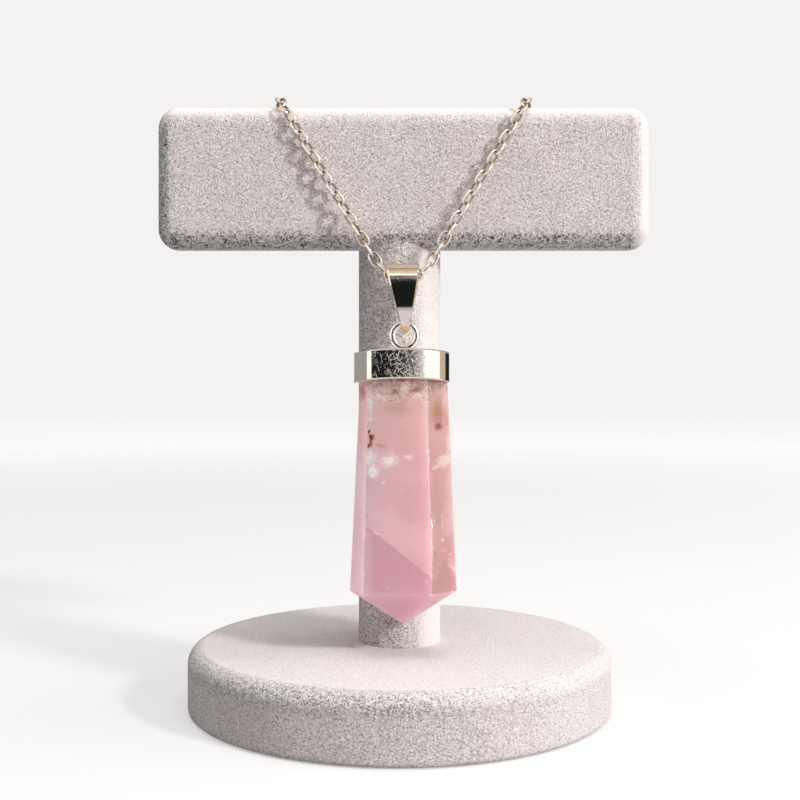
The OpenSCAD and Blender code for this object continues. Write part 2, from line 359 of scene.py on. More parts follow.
def nap_group():
    """Nap of the velvet: curls with painted highlights on their crests and painted shade in their hollows, and, where
    the rim share is high, open tufts with painted highlights on their tops and painted shadow between them.
    """
    tree, take, give = new_group(
        "nap",
        [("Vector", "Vector", None), ("Curl Size", "Float", 0.36), ("Tuft Size", "Float", 0.7), ("Rim", "Float", 0.0)],
        [("Height", "Float"), ("Light", "Float"), ("Dark", "Float"), ("Shadow", "Float")])
    curl = grain(tree, take["Vector"], maths(tree, "DIVIDE", 1000.0, take["Curl Size"]), 1.5, 0.6, 1.0)
    tuft = grain(tree, take["Vector"], maths(tree, "DIVIDE", 1000.0, take["Tuft Size"]), 2.0, 0.6, 1.6)
    tuft_share = times(tree, tuft, take["Rim"])
    tree.links.new(maths(tree, "MULTIPLY_ADD", tuft_share, 3.0, curl), give["Height"])
    # Light is a painted highlight on the curls' crests and the tufts' tops, Dark is painted shade in the curls'
    # hollows, Shadow is painted shadow between the tufts.
    raised = times(tree, fade(tree, tuft, 0.51, 0.60), take["Rim"])
    tree.links.new(maths(tree, "MAXIMUM", fade(tree, curl, 0.50, 0.66), raised), give["Light"])
    tree.links.new(fade(tree, curl, 0.50, 0.34), give["Dark"])
    tree.links.new(times(tree, fade(tree, tuft, 0.465, 0.43), take["Rim"]), give["Shadow"])
    return tree


def velvet_material(nap, name, tone):
    """Warm pale grey velvet with a short curly nap; the tone is its paleness; its colour holds a painted sheen, painted
    highlights, painted shade and painted tuft shadows.
    """
    material, tree, shader, place = new_material(
        name, {"Roughness": 0.95, "Specular IOR Level": 0.1, "Sheen Weight": 0.25, "Sheen Roughness": 0.4})
    opened = drawn(tree, "nap")
    crisp = fade(tree, opened, 0.05, 0.55, 0.25, 0.95)
    marks = place_group(tree, nap, {"Vector": place, "Rim": fade(tree, opened, 0.45, 1.0)})
    ground = grain(tree, place, 90.0, 3.0)
    colours = ((0.73, 0.655, 0.655), (0.79, 0.71, 0.71), (1.0, 0.96, 0.95), (0.40, 0.33, 0.325), (0.97, 0.92, 0.91))
    low, high, painted_highlight, painted_hollow_shade, laid_sheen = ((*(c * tone for c in colour), 1) for colour in colours)
    painted_tuft_shadow = (0.07, 0.05, 0.047, 1)
    tint = blend_colour(tree, fade(tree, ground, 0.35, 0.65), low, high)
    # Painted sheen: paler where the nap lies flat on the lit top and right.
    tint = blend_colour(tree, fade(tree, opened, 0.5, 0.1, 0.0, 0.7), tint, laid_sheen)
    # Painted light: the open nap on the shaded left and lower edges is made paler.
    tint = blend_colour(tree, fade(tree, opened, 0.55, 0.9), tint, painted_highlight)
    # Painted highlight on the curls' crests and painted shade in their hollows, crispest where the nap stands open on
    # the shaded edges.
    tint = blend_colour(tree, times(tree, marks["Light"], crisp), tint, painted_highlight)
    tint = blend_colour(tree, times(tree, marks["Dark"], crisp), tint, painted_hollow_shade)
    # Painted shadow between the open tufts.
    tint = blend_colour(tree, times(tree, marks["Shadow"], 0.92), tint, painted_tuft_shadow)
    tree.links.new(tint, shader.inputs["Base Color"])
    relief(tree, shader, marks["Height"], 0.3 * MM)
    return material


def pile(point):
    """How far the cover's pile stands out at a point, with soft tufts a millimetre or so apart."""
    spot = point * 620
    warp = Vector((noise.noise(spot * 0.7), noise.noise(spot * 0.7 + Vector((7, 3, 1))), 0)) * 1.4
    return (0.02 + 0.06 * (0.5 - abs(noise.noise(spot + warp)))) * MM


def raise_pile(piece):
    """Moves the cover's points out by the pile."""
    mesh = piece.data
    mesh.update()
    normals = [v.normal.copy() for v in mesh.vertices]
    for v, n in zip(mesh.vertices, normals):
        v.co += n * pile(v.co)
    mesh.update()


def bar_nap(out):
    """How open the nap stands: 0.5 on a face, 1 along the left and lower edges, near 0 above and on the right; it
    follows the light, open on the shaded edges for the painted tuft shadows and laid on the lit top and right for the
    painted sheen.
    """
    turned = min(1.0, (1 - max(abs(c) for c in out)) / 0.10)
    laid_sheen = max(0.0, min(1.0, 1.6 * max(out.x, out.z)))
    return 0.5 + 0.5 * turned * (1 - laid_sheen) - 0.42 * laid_sheen


def bar_cover():
    """Crossbar: a fine grid on a box, drawn in to its rounded edges; its nap lies flatter towards the top, where it
    takes the painted sheen.
    """
    step, laid_from, laid_over = 0.42 * MM, BAR_H / 2 - 2.5 * MM, 9 * MM
    half = Vector((BAR_W, BAR_D, BAR_H)) / 2
    inner = [h - BAR_ROUND for h in half]
    centre = Vector((0, 0, BAR_UNDER + BAR_H / 2))
    points, faces, naps = [], [], []
    for axis in range(3):
        u, v = (axis + 1) % 3, (axis + 2) % 3
        nu, nv = round(2 * half[u] / step), round(2 * half[v] / step)
        for side in (-1, 1):
            first = len(points)
            for i in range(nu + 1):
                for j in range(nv + 1):
                    p = [0, 0, 0]
                    p[axis] = side * half[axis]
                    p[u] = (2 * i / nu - 1) * half[u]
                    p[v] = (2 * j / nv - 1) * half[v]
                    core = Vector(max(-inner[k], min(inner[k], p[k])) for k in range(3))
                    out = (Vector(p) - core).normalized()
                    low_back = (core.y + inner[1]) / (2 * inner[1]) * (inner[2] - core.z) / (2 * inner[2])
                    points.append(centre + core + out * BAR_ROUND + Vector((0, 0, BAR_RISE * low_back)))
                    near_top = 0.5 + (laid_from - p[2]) / laid_over if p[2] > BAR_H / 4 else 1
                    naps.append(min(bar_nap(out), near_top))
            for i in range(nu):
                for j in range(nv):
                    a = first + i * (nv + 1) + j
                    quad = (a, a + nv + 1, a + nv + 2, a + 1)
                    faces.append(quad if side > 0 else quad[::-1])
    cover = make_piece("bar_velvet", points, faces)
    write_values(cover, "nap", naps)
    tidy_mesh(cover, 2e-6)
    return cover


def base_cover():
    """Round base: a square grid pressed into a disc, then rings down its rounded edge and side."""
    n, side_rows, foot_round = 150, 21, 0.8 * MM
    flat, side_top = BASE_R - BASE_ROUND, BASE_T - BASE_ROUND
    nap_above, nap_side, more_at_edge, nap_laid = 0.22, 0.5, 0.3, 0.32
    points, faces = [], []
    for i in range(n + 1):
        for j in range(n + 1):
            x, y = 2 * i / n - 1, 2 * j / n - 1
            r, turn = (x, math.pi / 4 * y / x) if abs(x) > abs(y) else (
                (y, math.pi / 2 - math.pi / 4 * x / y) if y else (0, 0))
            points.append((POST_X + flat * r * math.cos(turn), flat * r * math.sin(turn), BASE_T))
    for i in range(n):
        for j in range(n):
            a = i * (n + 1) + j
            faces.append((a, a + n + 1, a + n + 2, a + 1))
    rim = ([i * (n + 1) for i in range(n)] + [n * (n + 1) + j for j in range(n)]
           + [i * (n + 1) + n for i in range(n, 0, -1)] + list(range(n, 0, -1)))
    profile = [(flat + BASE_ROUND * math.sin(t), side_top + BASE_ROUND * math.cos(t))
               for t in (math.pi / 2 * k / 10 for k in range(1, 11))]
    profile += [(BASE_R, side_top + (foot_round - side_top) * k / side_rows) for k in range(1, side_rows + 1)]
    profile += [(BASE_R - foot_round * (1 - math.cos(t)), foot_round - foot_round * math.sin(t))
                for t in (math.pi / 2 * k / 3 for k in range(1, 4))]
    turns = [math.atan2(points[k][1], points[k][0] - POST_X) for k in rim]
    naps = [nap_above] * len(points)
    last = rim
    for k, (radius, z) in enumerate(profile):
        row = range(len(points), len(points) + len(rim))
        edge = math.sin(math.pi * min(1.0, (k + 1) / 14))
        for t in turns:
            # The nap lies flat on the right, which faces the key light, for the painted sheen, and stands open round
            # the rest of the edge for the painted tuft shadows.
            laid_sheen = max(0.0, min(1.0, 1.4 * math.cos(t)))
            naps.append((nap_side + more_at_edge * edge) * (1 - laid_sheen) + nap_laid * laid_sheen)
        points += [(POST_X + radius * math.cos(t), radius * math.sin(t), z) for t in turns]
        for i in range(len(rim)):
            j = (i + 1) % len(rim)
            faces.append((last[i], row[i], row[j], last[j]))
        last = row
    faces.append(tuple(last)[::-1])
    cover = make_piece("base_velvet", points, faces)
    write_values(cover, "nap", naps)
    tidy_mesh(cover)
    return cover


def post_cover():
    """Upright post: a fine grid round its whole length, let a little into the base and up into the bar."""
    around, rows, low = 170, 260, BASE_T - 0.3 * MM
    turns = [2 * math.pi * i / around for i in range(around)]
    points = [(POST_X + POST_R * math.cos(t), POST_R * math.sin(t), low + (POST_TOP - low) * k / rows)
              for k in range(rows + 1) for t in turns]
    faces = rings_to_faces(rows + 1, around)
    faces.append(tuple(range(around))[::-1])
    faces.append(tuple(range(rows * around, (rows + 1) * around)))
    cover = make_piece("post_velvet", points, faces)
    # The nap lies flat on the right, lit by the key light, for the painted sheen, and stands open on the shaded left
    # for the painted tuft shadows and curls.
    naps = [0.75 - 0.63 * max(0.0, min(1.0, (math.cos(t) - 0.1) / 0.5)) for t in turns]
    write_values(cover, "nap", naps * (rows + 1))
    return cover


def dress_stand():
    nap = nap_group()
    # The tones differ per piece partly as painted light, to even out how brightly the pieces show under the lights.
    for cover, node, tone in ((base_cover(), "stand_base", 0.90), (post_cover(), "stand_post", 0.93),
                              (bar_cover(), "stand_bar", 0.93)):
        raise_pile(cover)
        dress(cover, velvet_material(nap, "velvet_" + node[6:], tone), "stand", "velvet", node)


# ---- Metal ----

def scratch_group():
    """Fine straight scratches at four angles, each a thin line with a broken length."""
    tree, take, give = new_group(
        "scratches",
        [("Vector", "Vector", None), ("Fineness", "Float", 5000.0), ("Amount", "Float", 0.5)],
        [("Lines", "Float")])
    edge = maths(tree, "SUBTRACT", 0.70, times(tree, take["Amount"], 0.12))
    sets = []
    for k, turn in enumerate((0.35, -0.6, 1.15, -1.3)):
        drawn_out = vector_maths(tree, "MULTIPLY", turned_round(tree, take["Vector"], turn), (0.1, 0.1, 1.0))
        shifted = vector_maths(tree, "ADD", drawn_out, (k * 0.37, 0, k * 0.11))
        lines = grain(tree, shifted, take["Fineness"], 1.0)
        sets.append(put(tree, "ShaderNodeMapRange", {"Value": lines, "From Min": edge, "From Max": 0.78}).outputs[0])
    tree.links.new(strongest(tree, sets), give["Lines"])
    return tree


def metal_material(name, colour, deep, roughness, scratches, amount, fineness=5000.0, strength=0.25, painted_gold_height=0.0):
    """Polished pale gold with scratches, most in the middle of the front, painted shade in dark brown where the
    attribute says so, and a yellower painted gold reflection, rougher too, below the given height."""
    material, tree, shader, place = new_material(name, {"Metallic": 1.0})
    across, _, up = axes_of(tree, place)
    rubbed = times(tree, fade(tree, across, -5 * MM, -1 * MM, 0.0, amount), fade(tree, across, 5.5 * MM, 3.5 * MM))
    lines = place_group(tree, scratches, {"Vector": place, "Fineness": fineness, "Amount": amount})["Lines"]
    lines = times(tree, lines, maths(tree, "MULTIPLY_ADD", rubbed, 1.2, 0.3))
    cloud = grain(tree, place, 700.0, 3.0)
    tint = blend_colour(tree, fade(tree, cloud, 0.3, 0.7), (*deep, 1), (*colour, 1))
    # Painted shade: dark brown where the attribute 'inner' marks the inner sides of the chain's links and the groove of
    # the bail's lip.
    tint = blend_colour(tree, times(tree, drawn(tree, "inner"), 0.9), tint, (0.11, 0.055, 0.03, 1))
    # Painted reflection: yellower gold below the height, on the bail's foot; it is rougher there too.
    painted_gold_foot = fade(tree, up, painted_gold_height, painted_gold_height - 0.4 * MM)
    tint = blend_colour(tree, painted_gold_foot, tint, (0.98, 0.74, 0.46, 1))
    tree.links.new(tint, shader.inputs["Base Color"])
    rough = fade(tree, cloud, 0.3, 0.7, roughness * 1.3, roughness)
    rough = maths(tree, "ADD", times(tree, lines, 0.1), rough)
    rough = maths(tree, "MULTIPLY_ADD", rubbed, 0.2, rough)
    rough = maths(tree, "MULTIPLY_ADD", painted_gold_foot, 0.22, rough)
    tree.links.new(rough, shader.inputs["Roughness"])
    height = maths(tree, "ADD", times(tree, lines, -1.0), times(tree, cloud, 0.12))
    relief(tree, shader, height, 0.04 * MM, strength)
    return material


def chain_links(node):
    """Centre, long axis and flat axis of each link of a CAD strand."""
    work = bmesh.new()
    work.from_mesh(NODES[node].data)
    bmesh.ops.remove_doubles(work, verts=work.verts, dist=1e-6)
    work.verts.ensure_lookup_table()
    seen, links = set(), []
    for start in work.verts:
        if start.index in seen:
            continue
        seen.add(start.index)
        island, queue = [], [start]
        while queue:
            vert = queue.pop()
            island.append(vert.co)
            for edge in vert.link_edges:
                other = edge.other_vert(vert)
                if other.index not in seen:
                    seen.add(other.index)
                    queue.append(other)
        cloud = np.array([tuple(co) for co in island])
        centre = cloud.mean(axis=0)
        _, axes = np.linalg.eigh(np.cov((cloud - centre).T))
        links.append((centre, axes[:, 2], axes[:, 0]))
    work.free()
    return links


def link_tree():
    """Geometry Nodes: one long ring of round wire on each point, turned by the point's two axes."""
    tree = bpy.data.node_groups.new("links_on_points", "GeometryNodeTree")
    face = tree.interface
    face.new_socket("Geometry", in_out="INPUT", socket_type="NodeSocketGeometry")
    for label in ("Link Length", "Link Width", "Wire Thickness"):
        face.new_socket(label, in_out="INPUT", socket_type="NodeSocketFloat")
    face.new_socket("Metal", in_out="INPUT", socket_type="NodeSocketMaterial")
    face.new_socket("Geometry", in_out="OUTPUT", socket_type="NodeSocketGeometry")
    take = tree.nodes.new("NodeGroupInput").outputs
    wide = maths(tree, "SUBTRACT", take["Link Width"], take["Wire Thickness"])
    long = maths(tree, "SUBTRACT", take["Link Length"], take["Wire Thickness"])
    oblong = put(tree, "GeometryNodeCurvePrimitiveQuadrilateral", {"Width": long, "Height": wide})
    corner = times(tree, wide, LINK_ROUND)
    oval = put(tree, "GeometryNodeFilletCurve", {"Curve": oblong.outputs[0], "Count": 2, "Radius": corner}, mode="POLY")
    section = put(tree, "GeometryNodeCurvePrimitiveCircle",
                  {"Resolution": 6, "Radius": times(tree, take["Wire Thickness"], WIRE_SHARE)})
    link = put(tree, "GeometryNodeCurveToMesh", {"Curve": oval.outputs[0], "Profile Curve": section.outputs[0]})
    along, flat = (put(tree, "GeometryNodeInputNamedAttribute", {"Name": name}, data_type="FLOAT_VECTOR").outputs[0]
                   for name in ("along", "flat"))
    turn = put(tree, "FunctionNodeAxesToRotation", {0: along, 1: flat}, primary_axis="X", secondary_axis="Z")
    copies = put(tree, "GeometryNodeInstanceOnPoints",
                 {"Points": take["Geometry"], "Instance": link.outputs[0], "Rotation": turn.outputs[0]})
    real = put(tree, "GeometryNodeRealizeInstances", {0: copies.outputs[0]})
    metal = put(tree, "GeometryNodeSetMaterial", {"Geometry": real.outputs[0], "Material": take["Metal"]})
    give = tree.nodes.new("NodeGroupOutput")
    tree.links.new(metal.outputs[0], give.inputs[0])
    return tree


def strand(name, node, tree, metal):
    """One strand of links laid where the CAD strand's links are."""
    links = chain_links(node)
    strand_points = make_piece(name, [c for c, _, _ in links], [])
    for label, column in (("along", 1), ("flat", 2)):
        attribute = strand_points.data.attributes.new(label, "FLOAT_VECTOR", "POINT")
        attribute.data.foreach_set("vector", np.array([link[column] for link in links], np.float32).ravel())
    modifier = strand_points.modifiers.new("links", "NODES")
    modifier.node_group = tree
    values = {"Link Length": LINK_L, "Link Width": LINK_W, "Wire Thickness": LINK_WIRE, "Metal": metal}
    for item in tree.interface.items_tree:
        if item.item_type == "SOCKET" and item.in_out == "INPUT" and item.name in values:
            modifier[item.identifier] = values[item.name]
    plain = finish_modifiers(strand_points)
    paint_inner_shade(plain, links)
    plain.data.shade_smooth()
    return plain


def paint_inner_shade(chain, links):
    """Writes how far each point of a link lies on the inner side of its wire, where painted shade darkens the gold."""
    spots = np.empty(len(chain.data.vertices) * 3)
    chain.data.vertices.foreach_get("co", spots)
    long, wide = LINK_L - LINK_WIRE, LINK_W - LINK_WIRE
    corner, shade_from, shade_over = LINK_ROUND * wide, -0.06 * MM, 0.14 * MM
    inner = []
    for cloud, (centre, along, flat) in zip(spots.reshape(len(links), -1, 3), links):
        off = cloud - centre
        past_long = abs(off @ along) - long / 2 + corner
        past_wide = abs(off @ np.cross(flat, along)) - wide / 2 + corner
        beyond = np.hypot(past_long.clip(0), past_wide.clip(0)) + np.maximum(past_long, past_wide).clip(None, 0)
        inner.append(np.clip((shade_from - (beyond - corner)) / shade_over, 0, 1))
    write_values(chain, "inner", np.concatenate(inner).astype(np.float32))


def dress_chain(metal):
    tree = link_tree()
    for side in ("left", "right"):
        dress(strand("chain_links_" + side, "chain_" + side, tree, metal), metal, "stand", "chain_metal",
              "chain_" + side)
    for node in ("chain_pin", "clasp_ring"):
        NODES[node].data.materials.clear()
        NODES[node].data.materials.append(metal)


# ---- Bail, cap and ring ----

def hang(p):
    """From the bail's own frame, hinge at the origin, to its place."""
    return HINGE + Matrix.Rotation(-LEAN, 3, "X") @ Vector(p)


def hang_low(p):
    """From the pendant's own frame to its place below the bail's foot."""
    foot = Vector((0, 0, -BAIL_LEN))
    return hang(foot + Matrix.Rotation(LEAN - STONE_LEAN, 3, "X") @ (Vector(p) - foot))


def loop_point(s, top_r, foot_r):
    """Point (y, z) of a drop outline; s runs 0 to 1 from the foot, up the front, over and down the back."""
    tilt = math.asin((top_r - foot_r) / BAIL_LEN)
    straight, foot_arc = BAIL_LEN * math.cos(tilt), foot_r * (math.pi / 2 - tilt)
    lengths = [foot_arc, straight, top_r * (math.pi + 2 * tilt), straight, foot_arc]
    at = s * sum(lengths)
    part = 0
    while part < 4 and at > lengths[part]:
        at -= lengths[part]
        part += 1
    if part in (0, 4):
        turn = (at if part == 0 else foot_arc - at) / foot_r
        y, z = -foot_r * math.sin(turn), -BAIL_LEN - foot_r * math.cos(turn)
        return (y, z) if part == 0 else (-y, z)
    if part in (1, 3):
        share = at / straight if part == 1 else 1 - at / straight
        low = (-foot_r * math.cos(tilt), -BAIL_LEN - foot_r * math.sin(tilt))
        high = (-top_r * math.cos(tilt), -top_r * math.sin(tilt))
        y, z = (low[0] + (high[0] - low[0]) * share, low[1] + (high[1] - low[1]) * share)
        return (y, z) if part == 1 else (-y, z)
    turn = -tilt + at / top_r
    return -top_r * math.cos(turn), top_r * math.sin(turn)


def bail_strap():
    """Leaf-shaped strap bent into a drop, with a domed front, bevelled front edges and a fine lip across its top, whose
    groove gets painted shade.
    """
    steps, count = 168, 9
    top_out, top_in, foot_out, foot_in = 2.75 * MM, 2.0 * MM, 1.9 * MM, 0.8 * MM
    bevel_in, bevel_deep, crown_rise, corner_in = 0.26 * MM, 0.30, 0.03 * MM, 0.06 * MM
    dome, lip_angle, lip_deep = 0.45 * MM, 29, 0.1 * MM
    points, lip = [], []
    for k in range(steps):
        s = k / steps
        outer = Vector((0, *loop_point(s, top_out, foot_out)))
        inner = Vector((0, *loop_point(s, top_in, foot_in)))
        out = (outer - inner).normalized()
        at_lip = False
        if outer.y < 0:
            share = (outer.z + BAIL_LEN) / BAIL_LEN
            ease = 1.0 if 0 < share < 1 else -outer.y / (top_out if share > 0 else foot_out)
            outer += out * dome * math.sin(math.pi * share) * ease
            at_lip = abs(math.degrees(math.atan2(outer.z, -outer.y)) - lip_angle) < 3
            outer -= out * lip_deep * at_lip
        # Painted shade: the lip's groove is marked for the gold to be darkened there.
        lip += [0.85 * at_lip] * count
        # Half width and lean to one side, fitted to the photo's outline, by the millimetres below the top
        drop = (top_out - outer.z) / MM
        half = max(0.74, 3.5 - 0.107 * drop - 0.0068 * drop * drop) * MM
        aside = (0.04 * drop - 0.2) * MM
        side = outer.lerp(inner, bevel_deep)
        back = outer.lerp(inner, 0.9)
        face_half = max(half - bevel_in, half * 0.45)
        row = [(-face_half, outer), (0, outer + out * crown_rise), (face_half, outer), (half, side), (half, back),
               (half - corner_in, inner), (corner_in - half, inner), (-half, back), (-half, side)]
        points += [hang((x + aside, p.y, p.z)) for x, p in row]
    strap = make_piece("bail_strap", points, rings_to_faces(steps, count, closed=True))
    write_values(strap, "inner", lip)
    tidy_mesh(strap)
    smooth_by_angle(strap, 24)
    return strap


def ring_points(around, section):
    """Points of the cap's ring, which faces the front; its wire is a little flat in front and behind."""
    points, flatness = [], 0.72
    for k in range(around):
        t = 2 * math.pi * k / around
        for i in range(section):
            u = 2 * math.pi * i / section
            across, deep = (math.copysign(abs(c) ** flatness, c) for c in (math.cos(u), math.sin(u)))
            reach = RING_R + RING_WIRE / 2 * across
            points.append(hang_low((RING_X + reach * math.sin(t), 0.4 * RING_WIRE * deep,
                                    RING_Z + reach * math.cos(t))))
    return points


def cap_outline():
    """Points of the cap's outline with their outward directions, in metres; its flats are divided finely."""
    corners, around, flat_step = [], 180, 0.5 * MM
    for k in range(around):
        t = 2 * math.pi * k / around
        out = (math.cos(t), math.sin(t))
        x, y, r = max(CAP_CORNERS, key=lambda c: c[0] * out[0] + c[1] * out[1] + c[2])
        corners.append(((x + r * out[0]) * MM, (y + r * out[1]) * MM, *out))
    outline = []
    for a, b in zip(corners, corners[1:] + corners[:1]):
        parts = max(1, round(math.dist(a[:2], b[:2]) / flat_step))
        outline += [tuple(p + (q - p) * i / parts for p, q in zip(a, b)) for i in range(parts)]
    return outline


def cap_level(outline, inset, z, shrink=1.0):
    """One level of the cap: the outline drawn in by the inset, its front slightly bowed, its ends drooping."""
    middle, half, bow, end = -1.4 * MM, 5.7 * MM, 0.28 * MM, 9.8 * MM
    front, side_from, side_over = -4 * MM, 0.8 * MM, 3 * MM
    level = []
    for x, y, nx, ny in outline:
        u = (x - middle) / half
        if u > 1:
            rise = -2 * (u - 1) * math.exp(4 * (1 - u)) * max(0.0, min(1.0, (-y - side_from) / side_over))
        else:
            rise = max(0.0, 1 - u * u) if y < front else 0.0
        bowed = y - bow * rise
        droop = CAP_DROOP * (x / end) ** 2
        level.append(hang_low(((x - nx * inset) * shrink, (bowed - ny * inset) * shrink, z - droop)))
    return level


def cap_and_ring():
    """Cap with a fine rolled rim above and below, its ring and the solder at the ring's foot."""
    top, low, around, section, solder_around = 0.45, -5.75, 72, 24, 32
    # Levels from the middle of the top, over the rim, down the side and up inside: inset, height and shrinking
    levels = [(0.4, top, 0.3), (0.4, top, 0.7), (0.4, top, 1), (0.2, top - 0.04, 1), (0.05, top - 0.12, 1),
              (0.0, top - 0.22, 1), (0.03, top - 0.3, 1), (0.1, top - 0.36, 1), (0.1, top - 0.5, 1),
              (0.1, top - 2, 1), (0.1, top - 4, 1), (0.1, low + 0.45, 1), (0.1, low + 0.34, 1), (0.03, low + 0.28, 1),
              (0.0, low + 0.2, 1), (0.05, low + 0.1, 1), (0.2, low, 1), (0.5, low, 1), (0.58, low + 0.12, 1),
              (0.58, top - 1, 1), (0.7, top - 0.8, 1), (0.7, top - 0.8, 0.5)]
    outline = cap_outline()
    points, count = [], len(outline)
    for inset, z, shrink in levels:
        points += cap_level(outline, inset * MM, CAP_TOP + z * MM, shrink)
    faces = rings_to_faces(len(levels), count)
    faces.append(tuple(range(count)))
    faces.append(tuple(range(len(points) - count, len(points)))[::-1])
    faces += rings_to_faces(around, section, len(points), closed=True)
    points += ring_points(around, section)
    first = len(points)
    solder = ((2.05, 0.95, -0.12), (1.85, 0.82, 0.06), (1.5, 0.68, 0.22), (1.15, 0.58, 0.45), (0.9, 0.5, 0.62))
    for reach, deep, rise in solder:
        for i in range(solder_around):
            t = 2 * math.pi * i / solder_around
            points.append(hang_low((reach * MM * math.cos(t), deep * MM * math.sin(t), CAP_TOP + rise * MM)))
    faces += rings_to_faces(len(solder), solder_around, first)
    faces.append(tuple(range(first, first + solder_around))[::-1])
    faces.append(tuple(range(len(points) - solder_around, len(points))))
    cap = make_piece("end_cap_metal", points, faces)
    tidy_mesh(cap)
    smooth_by_angle(cap, 40)
    return cap


def dress_metal():
    scratches = scratch_group()
    chain = metal_material("chain_gold", (1.0, 0.93, 0.86), (0.96, 0.86, 0.75), 0.14, scratches, amount=0.2)
    bail = metal_material("bail_gold", (0.95, 0.88, 0.79), (0.91, 0.82, 0.71), 0.04, scratches, amount=0.0,
                          fineness=9000.0, strength=0.03, painted_gold_height=81.2 * MM)
    cap = metal_material("cap_gold", (0.95, 0.92, 0.87), (0.91, 0.87, 0.81), 0.05, scratches, amount=0.4,
                         fineness=6500.0, strength=0.45)
    dress_chain(chain)
    dress(bail_strap(), bail, "bail", "cap_metal", "bail")
    dress(cap_and_ring(), cap, "pendant", "cap_metal", "end_cap")


# ---- Stone ----

# Marks in the stone: across from its middle, below the cap's edge, half length, half width, strength, slant and
# softness, in millimetres and degrees; a slant above zero rises to the right, and the last three may be left out
HAZE = ((-4.6, 1, 3.8, 1.3, 0.7, 4), (-8.5, 2, 1.4, 2.6, 0.9), (-1.5, 2.5, 2, 0.9, 1.1, 8),
        (2.9, 1.7, 2.3, 0.9, 1.4, 24), (3.7, 0.8, 1.8, 0.7), (6.3, 1.2, 1.6, 1.4, 0.35), (7.1, 9.3, 1.1, 1.2, 0.8))
VEIL = ((0.2, 1.4, 1.1, 1.4, 0.9), (-4.4, 3.3, 2.3, 1.2, 0.4, -10), (3.4, 2.9, 2.8, 1.2, 0.35),
        (8.3, 3.4, 0.9, 3.4, 0.6), (-6.8, 4.6, 0.8, 4.4, 0.8), (-6.7, 7.9, 0.6, 1, 0.7), (-7.2, 15.8, 2.9, 2.8),
        (-6.2, 18.3, 1.9, 1.9, 1.4, 20, 0.9), (-2.8, 16.2, 2.9, 1.8, 1.3, 12), (1, 15.4, 1.8, 0.9, 0.7, 12),
        (8.3, 16.4, 2.3, 1.7, 1.8, 18, 0.8), (9.2, 13.6, 1, 3.2, 0.6), (6.9, 17.6, 1.5, 0.6, 0.9, 20, 0.6),
        (-8.9, 20.5, 1.7, 8.5, 1.2), (9.2, 22, 1.3, 4, 0.3), (9.15, 28, 1.3, 4.4, 0.25, 0, 0.3),
        (-8.3, 39.2, 0.5, 1.2, 0.8), (8.1, 34.6, 0.5, 0.9, 0.7), (10, 38.3, 0.5, 1.7, 0.8, 35, 0.5),
        (9.6, 36.9, 0.4, 1.2, 0.6, 30, 0.6), (-7.9, 30.3, 0.5, 3, 0.5))
STREAK = ((-7.5, 10.2, 1.95, 0.12, 1, 52, 0.8), (4.6, 14.3, 0.75, 0.13, 1, 88, 0.8),
          (5.1, 14.4, 0.75, 0.13, 0.9, 88, 0.8), (5.1, 16.3, 1, 0.07, 0.5, 88, 0.8),
          (-4, 20.5, 0.75, 0.16, 1, 60, 0.9), (-0.5, 22.1, 1.5, 0.08, 0.7, 16), (-8, 25.9, 1.1, 0.16, 0.9, -52, 0.9),
          (-8.3, 33.2, 0.65, 0.1, 1, 76, 0.8), (-7.8, 31.6, 0.9, 0.12, 0.6, 62), (-5.5, 30.8, 1.05, 0.13, 1, -38, 0.8),
          (-7.6, 29.3, 1, 0.12, 0.5, -66), (5.65, 32.5, 8.6, 0.1, 0.75, 90, 0.8), (5.65, 28.9, 1.7, 0.2, 1, 90, 0.7),
          (6.2, 28.6, 1.2, 0.1, 0.7, 86, 0.8), (5.65, 21, 2.8, 0.07, 0.5, 90), (7.9, 29.2, 3.4, 0.07, 0.6, 90, 0.8),
          (7.95, 32.4, 0.4, 0.25, 1, 50, 0.8), (9.6, 35.4, 0.75, 0.08, 0.9, 48, 0.8),
          (4.6, 40.4, 0.55, 0.2, 1, -70, 0.9), (4.9, 40.9, 0.5, 0.12, 0.6, -20), (-3.15, 41.6, 0.3, 0.3, 0.7),
          (3.2, 2.9, 0.22, 0.4, 0.9), (1.1, 0.9, 0.25, 0.5, 0.9), (4.6, 2.8, 0.1, 0.7, 0.9),
          (-0.5, 2.1, 1.1, 0.1, 0.9, -80, 0.9), (-5.1, 2.6, 0.9, 0.07, 0.8, -52), (-5.3, 3.5, 0.9, 0.07, 0.7, 20),
          (2.1, 3.4, 1.1, 0.08, 0.8, 40), (9.9, 43.4, 0.25, 0.6, 1, 0, 0.7), (-6.1, 19, 0.7, 0.4, 0.9))
RUST = ((-2.64, 4.15, 1, 0.1, 0.9, 5, 0.9), (-8.4, 4.05, 0.6, 0.1, 0.7, 0, 0.9), (-1.14, 4.8, 0.22, 0.12, 0.8),
        (-0.1, 6.6, 0.13, 0.13, 0.7), (-0.45, 7.5, 0.3, 0.13, 0.6, 30), (0.05, 7.2, 0.1, 0.3, 0.4),
        (0.6, 8.5, 0.3, 0.08, 0.5), (7.9, 3.9, 0.1, 0.1, 0.5), (6.56, 4.6, 0.15, 0.15, 0.7),
        (-6.4, 11.6, 0.8, 1.3, 1.2, -25), (-6.7, 12.8, 0.6, 1.1), (-5.2, 13.1, 0.35, 0.15, 0.7),
        (8.9, 8.8, 0.2, 0.4, 0.6), (-9.7, 43.3, 0.8, 0.6, 0.3))
HONEY = ((6.9, 6.6, 2.3, 4.2, 0.9), (7, 9.4, 1.2, 1.3, 1.6), (-4.6, 13.2, 1.9, 0.8, 0.6, -10),
         (-1.2, 5.6, 4.6, 2.6, 0.4), (8.9, 8, 0.9, 3, 0.5))
